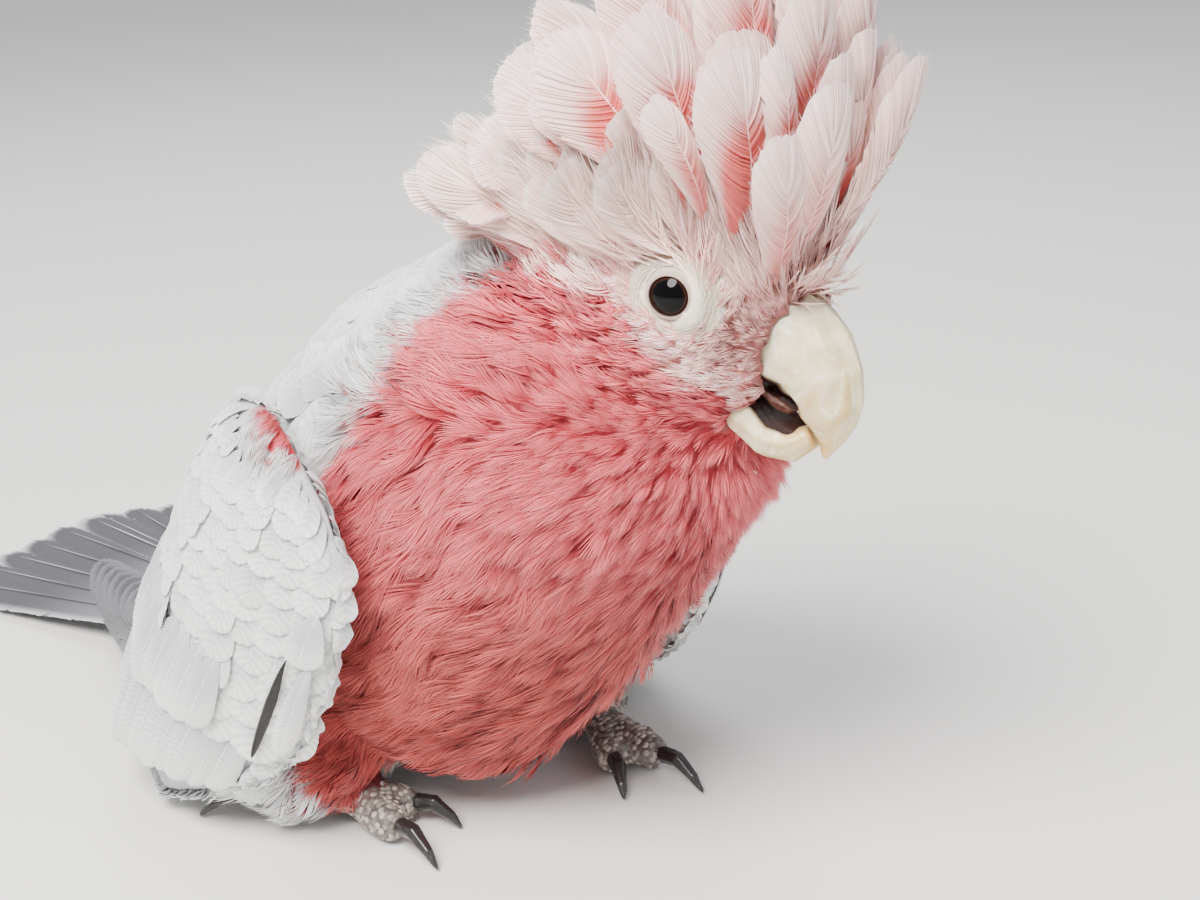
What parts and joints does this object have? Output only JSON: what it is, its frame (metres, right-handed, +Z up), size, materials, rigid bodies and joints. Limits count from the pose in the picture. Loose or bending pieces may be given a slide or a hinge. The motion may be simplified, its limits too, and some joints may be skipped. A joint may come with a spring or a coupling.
{
  "type": "galah parrot figure",
  "caption": "Life-size still figure of a galah parrot crouching low with its crest fanned up, rose breast and face, pale grey wings and back, and a stout ivory bill",
  "frame": {"origin": "on the floor, at the middle of the whole bird's box", "axes": "+Z up; the bird faces -Y with its tail laid along +Y; its left side is +X"},
  "size_m": [0.1146, 0.2768, 0.1693],
  "materials": {
    "rose_plumage": "soft rose-pink feathers with fine loose barbs",
    "pale_plumage": "soft pinkish-white feathers",
    "grey_plumage": "smooth pale silver-grey feathers",
    "dark_plumage": "smooth dark grey flight feathers",
    "horn": "ivory horn, slightly flaky",
    "tongue": "dull brown flesh",
    "eye": "glossy, nearly black",
    "foot_skin": "scaly, mealy grey skin",
    "claw": "dark grey horn with a dull shine"
  },
  "bodies": {
    "root": {"head": "pale_plumage", "crest": "pale_plumage", "bill_upper": "horn", "bill_lower": "horn", "tongue": "tongue", "eye_left": "eye", "eye_right": "eye", "neck": "rose_plumage", "trunk": "rose_plumage", "tail": "grey_plumage", "wing_left": "grey_plumage", "flight_left": "dark_plumage", "leg_left": "rose_plumage", "foot_left": "foot_skin", "claw_left_inner_front": "claw", "claw_left_outer_front": "claw", "claw_left_outer_back": "claw", "claw_left_inner_back": "claw", "wing_right": "grey_plumage", "flight_right": "dark_plumage", "leg_right": "rose_plumage", "foot_right": "foot_skin", "claw_right_inner_front": "claw", "claw_right_outer_front": "claw", "claw_right_outer_back": "claw", "claw_right_inner_back": "claw"}
  },
  "joints": []
}
